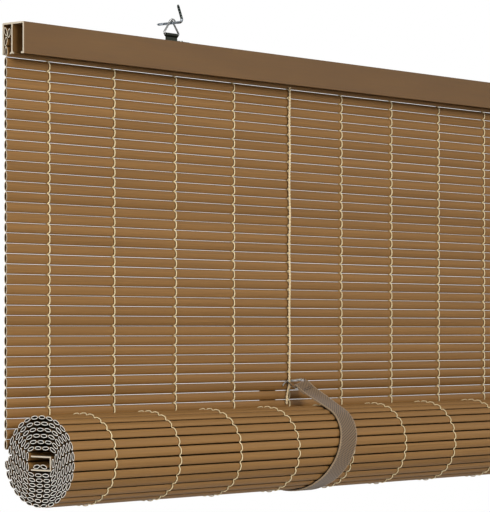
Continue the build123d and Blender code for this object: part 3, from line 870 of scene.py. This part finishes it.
def support_cord(side, word):
    verts, faces = [], []
    top, bottom = RAIL_BOTTOM + 2.0, ROLL_Z + ROLL_HALF_HEIGHT + 0.6
    kink = STRAP_RING_APEX[1]
    y = MAT_Y - SLAT_CROWN - 0.2 - 1.9 * PLY_RADIUS
    steps = int((top - bottom) / PLY_LAY * LAY_STEPS)
    for ply in (0, math.pi):
        line = []
        for k in range(steps + 1):
            z = top + (bottom - top) * k / steps
            a = ply + 2 * math.pi * (top - z) / PLY_LAY
            drift = (side * CORD_KINK * ease((kink - z) / KINK_RUN)
                     + CORD_WAVER * math.sin(z / WAVER_RUN))
            x = side * SUPPORT_X + drift + PLY_OFF_X * math.cos(a)
            line.append(Vector((x, y + PLY_OFF_Y * math.sin(a), z)))
        tube(verts, faces, line, PLY_RADIUS, PLY_SIDES)
    piece(f"twisted_cord_{word}", verts, faces, "blind", cord_cotton, "string",
          f"support_cord_{word}")


hanger_rings()
strap_rings()
screw_hooks()
for side, word in SIDES:
    frames = strap_frames(side)
    strap(word, frames)
    stitches(word, frames)
    support_cord(side, word)


# Camera, light and floor: the camera's and the lamps' places in metres, the floor in millimetres

CAMERA_PLACE, CAMERA_TURN = (-1.9920, -1.4157, -0.2576), -49.855
LENS, SENSOR, LENS_SHIFT, CAMERA_SIGHT = 177.61, 36.0, 0.1475, 100
WHITE = (1, 1, 1, 1)
WORLD_ABOVE, WORLD_BELOW, WORLD_FADE = 0.46, 0.02, (-0.15, 0.5)
FLOOR_HALF, FLOOR_Z, FLOOR_GREY, FLOOR_GLOW = 9000, -1450, 0.62, 0.85

# Name, place, target, width and power
LAMPS = (("key", (-1.7, -2.8, 0.9), (0, 0, -0.2), 1.2, 54),
         ("fill", (2.2, -2.6, 0.6), (0.2, 0, -0.2), 2.0, 11),
         ("back", (0.9, 3.0, 0.8), (0, 0, -0.2), 2.0, 12),
         ("side", (-2.9, -0.5, 0.0), (-0.6, 0, -0.25), 1.2, 24))


def camera():
    data = bpy.data.cameras.new("camera")
    data.lens, data.sensor_width = LENS, SENSOR
    data.shift_y = LENS_SHIFT
    data.clip_end = CAMERA_SIGHT
    obj = bpy.data.objects.new("camera", data)
    obj.location = CAMERA_PLACE
    obj.rotation_euler = (math.radians(90), 0, math.radians(CAMERA_TURN))
    bpy.context.scene.collection.objects.link(obj)
    bpy.context.scene.camera = obj


def area_light(name, place, target, size, power):
    data = bpy.data.lights.new(name, "AREA")
    data.shape, data.size, data.energy = "DISK", size, power
    obj = bpy.data.objects.new(name, data)
    obj.location = place
    obj.rotation_euler = (Vector(target) - Vector(place)).to_track_quat("-Z", "Y").to_euler()
    bpy.context.scene.collection.objects.link(obj)


def sky():
    """White to the camera; as light, dim below and brighter above."""
    world = bpy.data.worlds.new("studio")
    bpy.context.scene.world = world
    world.use_nodes = True
    w = Nodes(world.node_tree)
    back = w.tree.nodes["Background"]
    height = w.node("ShaderNodeSeparateXYZ", "Z", i0=w.node("ShaderNodeTexCoord", "Generated"))
    w.put(back.inputs["Color"], WHITE)
    w.put(back.inputs["Strength"], w.ramp(height, *WORLD_FADE, WORLD_BELOW, WORLD_ABOVE))
    seen = w.math("MAXIMUM", w.node("ShaderNodeLightPath", "Is Camera Ray"),
                  w.node("ShaderNodeLightPath", "Is Transmission Ray"))
    white = w.node("ShaderNodeBackground", Color=WHITE)
    both = w.node("ShaderNodeMixShader", i0=seen, i1=back.outputs[0], i2=white)
    w.put(w.tree.nodes["World Output"].inputs["Surface"], both)


def ground():
    """A pale floor that glows to the camera alone."""
    s = Shader("floor_pale")
    s.set(Base_Color=(FLOOR_GREY, FLOOR_GREY, FLOOR_GREY, 1), Roughness=0.9)
    seen = s.math("MULTIPLY", s.node("ShaderNodeLightPath", "Is Camera Ray"), FLOOR_GLOW)
    glow = s.node("ShaderNodeEmission", Color=WHITE, Strength=1.0)
    both = s.node("ShaderNodeMixShader", i0=seen, i1=s.bsdf.outputs[0], i2=glow)
    s.put(s.tree.nodes["Material Output"].inputs["Surface"], both)
    corners = [(x * FLOOR_HALF, y * FLOOR_HALF, FLOOR_Z)
               for x, y in ((-1, -1), (1, -1), (1, 1), (-1, 1))]
    floor = mesh_object("floor", corners, [(0, 1, 2, 3)], s.material, smooth=False)


camera()
sky()
ground()
for lamp in LAMPS:
    area_light(*lamp)
bpy.context.scene.view_settings.view_transform = "Standard"
